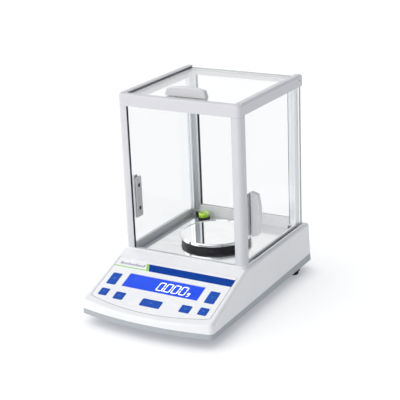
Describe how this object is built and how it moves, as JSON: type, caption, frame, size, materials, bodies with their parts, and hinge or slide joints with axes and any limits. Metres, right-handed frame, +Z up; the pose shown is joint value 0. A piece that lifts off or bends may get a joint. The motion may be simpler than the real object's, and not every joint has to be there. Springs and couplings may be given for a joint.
{
  "type": "analytical balance",
  "caption": "Laboratory balance with a sloping key panel and blue display, a round steel pan, and a glass draft shield with three sliding doors.",
  "frame": {"origin": "centre of the footprint on the surface that the feet stand on", "axes": "+Z up, -Y towards the operator and the control panel, +X to the operator's right"},
  "size_m": [0.225, 0.34, 0.3304],
  "materials": {
    "white_plastic": "smooth satin",
    "white_frame": "fine satin powder coat",
    "white_grip": "satin moulded",
    "grey_casting": "fine satin paint",
    "overlay_film": "smooth printed film",
    "clear_window": "clear",
    "blue_display": "backlit display",
    "blue_key": "smooth printed film",
    "circuit_board": "solder mask",
    "clear_rubber": "smooth",
    "black_plastic": "fine texture",
    "black_rubber": "matte",
    "plated_steel": "bright",
    "black_steel": "blackened",
    "stainless_steel": "fine brushed",
    "mirror_steel": "mirror polished",
    "anodised_aluminium": "satin anodised",
    "cast_aluminium": "machined",
    "spring_steel": "ground",
    "copper_wire": "enamelled winding",
    "soft_iron": "nickel plated",
    "clear_glass": "clear float glass with dark green edges",
    "green_vial": "clear body with green fluid"
  },
  "bodies": {
    "base": {"base_tray": "grey_casting", "top_housing": "white_plastic", "control_overlay": "overlay_film", "display_lens": "clear_window", "lcd_panel": "blue_display", "keypad_board": "circuit_board", "dome_switches": "clear_rubber", "main_board": "circuit_board", "power_jack": "black_plastic", "serial_port": "plated_steel", "case_screws": "plated_steel", "shield_base": "white_plastic", "top_front_bar": "white_frame", "top_rear_bar": "white_frame", "front_left_post": "white_frame", "front_right_post": "white_frame", "top_left_bar": "white_frame", "top_right_bar": "white_frame", "rear_left_post": "anodised_aluminium", "rear_right_post": "anodised_aluminium", "front_glass": "clear_glass", "rear_glass": "clear_glass", "glass_seals": "black_rubber", "floor_plate": "stainless_steel", "corner_clips": "black_plastic", "level_holder": "black_plastic", "level_vial": "green_vial", "front_feet": "black_rubber", "draft_ring": "black_plastic", "cell_chassis": "cast_aluminium", "parallel_guides": "spring_steel", "flexure_leaves": "spring_steel", "magnet_yoke": "soft_iron", "magnet_core": "soft_iron", "position_sensor": "black_plastic"},
    "left_door": {"left_door_glass": "clear_glass", "left_handle": "white_grip", "left_handle_screws": "black_steel"},
    "right_door": {"right_door_glass": "clear_glass", "right_handle": "white_grip", "right_handle_screws": "black_steel"},
    "top_door": {"top_door_glass": "clear_glass", "top_handle": "white_grip", "top_handle_screws": "black_steel"},
    "load_receiver": {"load_receiver": "cast_aluminium"},
    "lever": {"lever_beam": "cast_aluminium", "force_coil": "copper_wire"},
    "pan": {"weighing_pan": "mirror_steel", "pan_support": "cast_aluminium"},
    "left_tall_key": {"left_tall_key": "blue_key"},
    "right_tall_key": {"right_tall_key": "blue_key"},
    "left_outer_key": {"left_outer_key": "blue_key"},
    "right_outer_key": {"right_outer_key": "blue_key"},
    "left_inner_key": {"left_inner_key": "blue_key"},
    "right_inner_key": {"right_inner_key": "blue_key"},
    "centre_key": {"centre_key": "blue_key"},
    "left_foot": {"left_foot_pad": "black_rubber"},
    "left_wheel": {"left_foot_wheel": "black_plastic"},
    "right_foot": {"right_foot_pad": "black_rubber"},
    "right_wheel": {"right_foot_wheel": "black_plastic"}
  },
  "joints": [
    {"name": "left_door_slide", "type": "slide", "parent": "base", "child": "left_door", "axis": [0, 1, 0], "range_m": [0, 0.14]},
    {"name": "right_door_slide", "type": "slide", "parent": "base", "child": "right_door", "axis": [0, 1, 0], "range_m": [0, 0.14]},
    {"name": "top_door_slide", "type": "slide", "parent": "base", "child": "top_door", "axis": [0, 1, 0], "range_m": [0, 0.15]},
    {"name": "load_travel", "type": "slide", "parent": "base", "child": "load_receiver", "axis": [0, 0, -1], "range_m": [0, 0.0004], "stiffness_N_per_m": 20000, "deforming": ["parallel_guides", "flexure_leaves"]},
    {"name": "lever_tilt", "type": "hinge", "parent": "base", "child": "lever", "pos_m": [0, 0.0864, 0.055], "axis": [1, 0, 0], "range_deg": [0, 1.2]},
    {"name": "pan_lift", "type": "slide", "parent": "load_receiver", "child": "pan", "axis": [0, 0, 1], "range_m": [0, 0.06]},
    {"name": "left_tall_key_press", "type": "slide", "parent": "base", "child": "left_tall_key", "axis": [0, 0.3463, -0.9381], "range_m": [0, 0.0005], "stiffness_N_per_m": 3000},
    {"name": "right_tall_key_press", "type": "slide", "parent": "base", "child": "right_tall_key", "axis": [0, 0.3463, -0.9381], "range_m": [0, 0.0005], "stiffness_N_per_m": 3000},
    {"name": "left_outer_key_press", "type": "slide", "parent": "base", "child": "left_outer_key", "axis": [0, 0.3463, -0.9381], "range_m": [0, 0.0005], "stiffness_N_per_m": 3000},
    {"name": "right_outer_key_press", "type": "slide", "parent": "base", "child": "right_outer_key", "axis": [0, 0.3463, -0.9381], "range_m": [0, 0.0005], "stiffness_N_per_m": 3000},
    {"name": "left_inner_key_press", "type": "slide", "parent": "base", "child": "left_inner_key", "axis": [0, 0.3463, -0.9381], "range_m": [0, 0.0005], "stiffness_N_per_m": 3000},
    {"name": "right_inner_key_press", "type": "slide", "parent": "base", "child": "right_inner_key", "axis": [0, 0.3463, -0.9381], "range_m": [0, 0.0005], "stiffness_N_per_m": 3000},
    {"name": "centre_key_press", "type": "slide", "parent": "base", "child": "centre_key", "axis": [0, 0.3463, -0.9381], "range_m": [0, 0.0005], "stiffness_N_per_m": 3000},
    {"name": "left_foot_height", "type": "slide", "parent": "base", "child": "left_foot", "axis": [0, 0, -1], "range_m": [-0.003, 0.003]},
    {"name": "left_wheel_turn", "type": "hinge", "parent": "left_foot", "child": "left_wheel", "pos_m": [-0.091, 0.1355, 0.009], "axis": [0, 0, 1], "range_deg": [-1090, 1090]},
    {"name": "right_foot_height", "type": "slide", "parent": "base", "child": "right_foot", "axis": [0, 0, -1], "range_m": [-0.003, 0.003]},
    {"name": "right_wheel_turn", "type": "hinge", "parent": "right_foot", "child": "right_wheel", "pos_m": [0.091, 0.1355, 0.009], "axis": [0, 0, 1], "range_deg": [-1090, 1090]}
  ],
  "couplings": [
    {"joint": "lever_tilt", "follows": "load_travel", "rad_per_m": 50},
    {"joint": "left_wheel_turn", "follows": "left_foot_height", "rad_per_m": -6283.2},
    {"joint": "right_wheel_turn", "follows": "right_foot_height", "rad_per_m": -6283.2}
  ]
}
